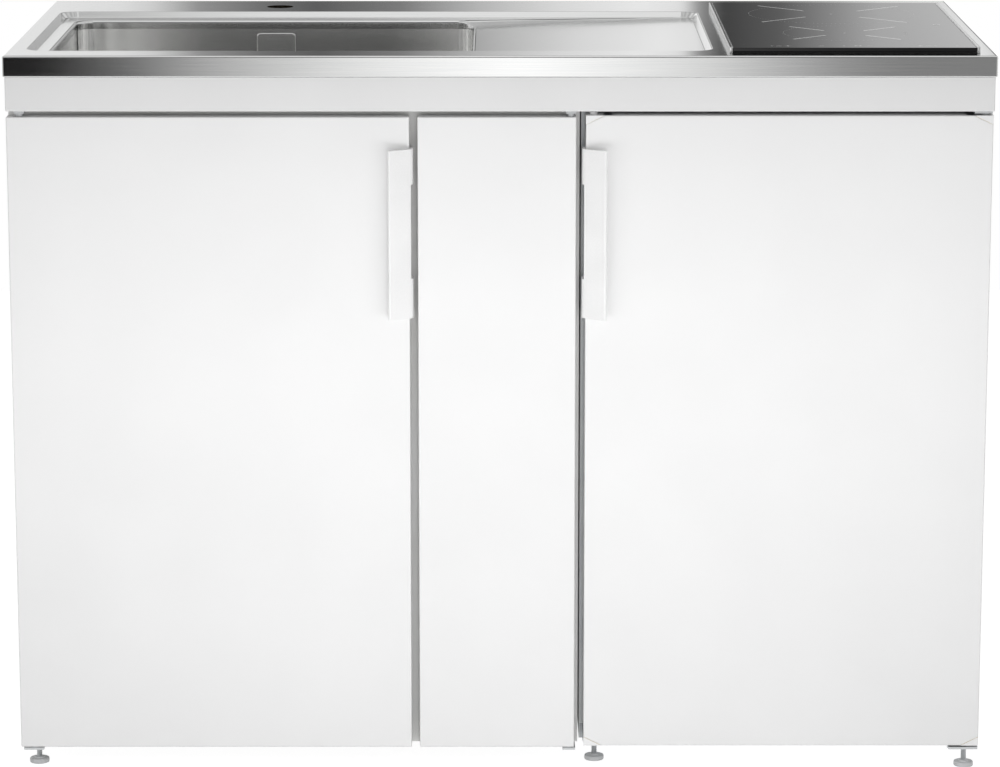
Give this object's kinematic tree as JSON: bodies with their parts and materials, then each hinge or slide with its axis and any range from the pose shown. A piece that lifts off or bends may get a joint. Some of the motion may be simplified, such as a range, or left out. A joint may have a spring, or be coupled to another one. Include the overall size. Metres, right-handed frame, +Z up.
{
  "type": "kitchenette unit",
  "caption": "Kitchenette unit: a stainless worktop with sink bowl, drainer and flush hob on a white cupboard, a narrow cupboard and a built-under fridge, on levelling feet",
  "frame": {"origin": "on the floor at the centre of the whole outline, handles and pipe end included", "axes": "+X to the right seen from the front, +Y back to the wall, +Z up"},
  "size_m": [1.2, 0.621, 0.9075],
  "materials": {
    "stainless": "brushed",
    "polished_steel": "polished",
    "chipboard": "raw",
    "white_board": "coated",
    "white_sheet": "satin",
    "zinc_plate": "zinc-plated",
    "tray_metal": "galvanised",
    "white_plastic": "smooth",
    "liner_plastic": "smooth",
    "pipe_plastic": "smooth",
    "clear_plastic": "clear",
    "shelf_glass": "clear",
    "hob_black_glass": "polished",
    "black_rubber": "matt",
    "grey_seal": "matt",
    "ice_box_metal": "satin",
    "copper": "wound",
    "circuit_board": "lacquered",
    "fan_plastic": "moulded",
    "compressor_black": "painted",
    "condenser_black": "satin",
    "foam": "polyurethane foam"
  },
  "bodies": {
    "unit": {"worktop": "stainless", "sink_bowl": "stainless", "hob_side_trims": "stainless", "waste_flange": "stainless", "overflow_cover": "polished_steel", "worktop_core": "chipboard", "side_panel_left": "white_board", "divider_panel": "white_board", "side_panel_middle": "white_board", "bottom_panel": "white_board", "back_panel": "white_board", "top_stretchers": "white_board", "middle_shelves": "white_board", "fascia_rail": "white_sheet", "top_frame": "white_sheet", "fridge_shell": "white_sheet", "cabinet_hinges": "white_sheet", "fridge_hinges": "zinc_plate", "foot_sockets": "zinc_plate", "hob_casing": "zinc_plate", "compressor_tray": "tray_metal", "thermostat_housing": "white_plastic", "magnet_catches": "white_plastic", "fridge_liner": "liner_plastic", "overflow_pipe": "pipe_plastic", "waste_body": "pipe_plastic", "bottle_trap": "pipe_plastic", "outlet_pipe": "pipe_plastic", "glass_shelves": "shelf_glass", "hob_glass": "hob_black_glass", "hob_gasket": "black_rubber", "icebox": "ice_box_metal", "induction_coils": "copper", "hob_power_board": "circuit_board", "compressor": "compressor_black", "condenser": "condenser_black", "fridge_foam": "foam"},
    "left_door": {"left_door_skin": "white_sheet", "left_door_core": "chipboard", "left_door_handle": "white_plastic"},
    "middle_door": {"middle_door_skin": "white_sheet", "middle_door_core": "chipboard"},
    "fridge_door": {"fridge_door_skin": "white_sheet", "fridge_door_foam": "foam", "fridge_door_liner": "liner_plastic", "door_gasket": "grey_seal", "door_bins": "clear_plastic", "door_corner_caps": "white_plastic", "fridge_door_handle": "white_plastic"},
    "ice_box_door": {"icebox_flap": "clear_plastic"},
    "salad_drawer": {"crisper": "clear_plastic"},
    "knob": {"thermostat_knob": "white_plastic"},
    "basket": {"strainer_basket": "polished_steel"},
    "fan": {"hob_fan": "fan_plastic"},
    "foot_left_front_body": {"foot_left_front": "zinc_plate"},
    "foot_left_rear_body": {"foot_left_rear": "zinc_plate"},
    "foot_middle_front_body": {"foot_middle_front": "zinc_plate"},
    "foot_middle_rear_body": {"foot_middle_rear": "zinc_plate"},
    "foot_fridge_left_body": {"foot_fridge_left": "zinc_plate"},
    "foot_fridge_right_body": {"foot_fridge_right": "zinc_plate"}
  },
  "joints": [
    {"name": "left_door_hinge", "type": "hinge", "parent": "unit", "child": "left_door", "pos_m": [-0.5818, -0.2755, 0.428], "axis": [0, 0, 1], "range_deg": [-110, 0]},
    {"name": "middle_door_hinge", "type": "hinge", "parent": "unit", "child": "middle_door", "pos_m": [0.0859, -0.2755, 0.428], "axis": [0, 0, 1], "range_deg": [0, 90]},
    {"name": "fridge_door_hinge", "type": "hinge", "parent": "unit", "child": "fridge_door", "pos_m": [0.5875, -0.2695, 0.43], "axis": [0, 0, 1], "range_deg": [0, 110]},
    {"name": "ice_box_door_hinge", "type": "hinge", "parent": "unit", "child": "ice_box_door", "pos_m": [0.349, -0.1288, 0.786], "axis": [-1, 0, 0], "range_deg": [0, 85]},
    {"name": "salad_drawer_slide", "type": "slide", "parent": "unit", "child": "salad_drawer", "axis": [0, -1, 0], "range_m": [0, 0.035]},
    {"name": "thermostat_knob_turn", "type": "hinge", "parent": "unit", "child": "knob", "pos_m": [0.547, 0.0032, 0.619], "axis": [0, 1, 0], "range_deg": [0, 300]},
    {"name": "strainer_basket_lift", "type": "slide", "parent": "unit", "child": "basket", "axis": [0, 0, 1], "range_m": [0, 0.06]},
    {"name": "hob_fan_spin", "type": "hinge", "parent": "unit", "child": "fan", "pos_m": [0.3275, -0.2115, 0.866], "axis": [0, 0, 1], "continuous": true},
    {"name": "foot_left_front_turn", "type": "hinge", "parent": "unit", "child": "foot_left_front_body", "pos_m": [-0.5805, -0.2405, 0.02], "axis": [0, 0, 1], "continuous": true},
    {"name": "foot_left_rear_turn", "type": "hinge", "parent": "unit", "child": "foot_left_rear_body", "pos_m": [-0.5805, 0.2505, 0.02], "axis": [0, 0, 1], "continuous": true},
    {"name": "foot_middle_front_turn", "type": "hinge", "parent": "unit", "child": "foot_middle_front_body", "pos_m": [0.079, -0.1595, 0.02], "axis": [0, 0, 1], "continuous": true},
    {"name": "foot_middle_rear_turn", "type": "hinge", "parent": "unit", "child": "foot_middle_rear_body", "pos_m": [0.079, 0.2505, 0.02], "axis": [0, 0, 1], "continuous": true},
    {"name": "foot_fridge_left_turn", "type": "hinge", "parent": "unit", "child": "foot_fridge_left_body", "pos_m": [0.1188, -0.2285, 0.02], "axis": [0, 0, 1], "continuous": true},
    {"name": "foot_fridge_right_turn", "type": "hinge", "parent": "unit", "child": "foot_fridge_right_body", "pos_m": [0.5825, -0.2555, 0.02], "axis": [0, 0, 1], "continuous": true}
  ]
}
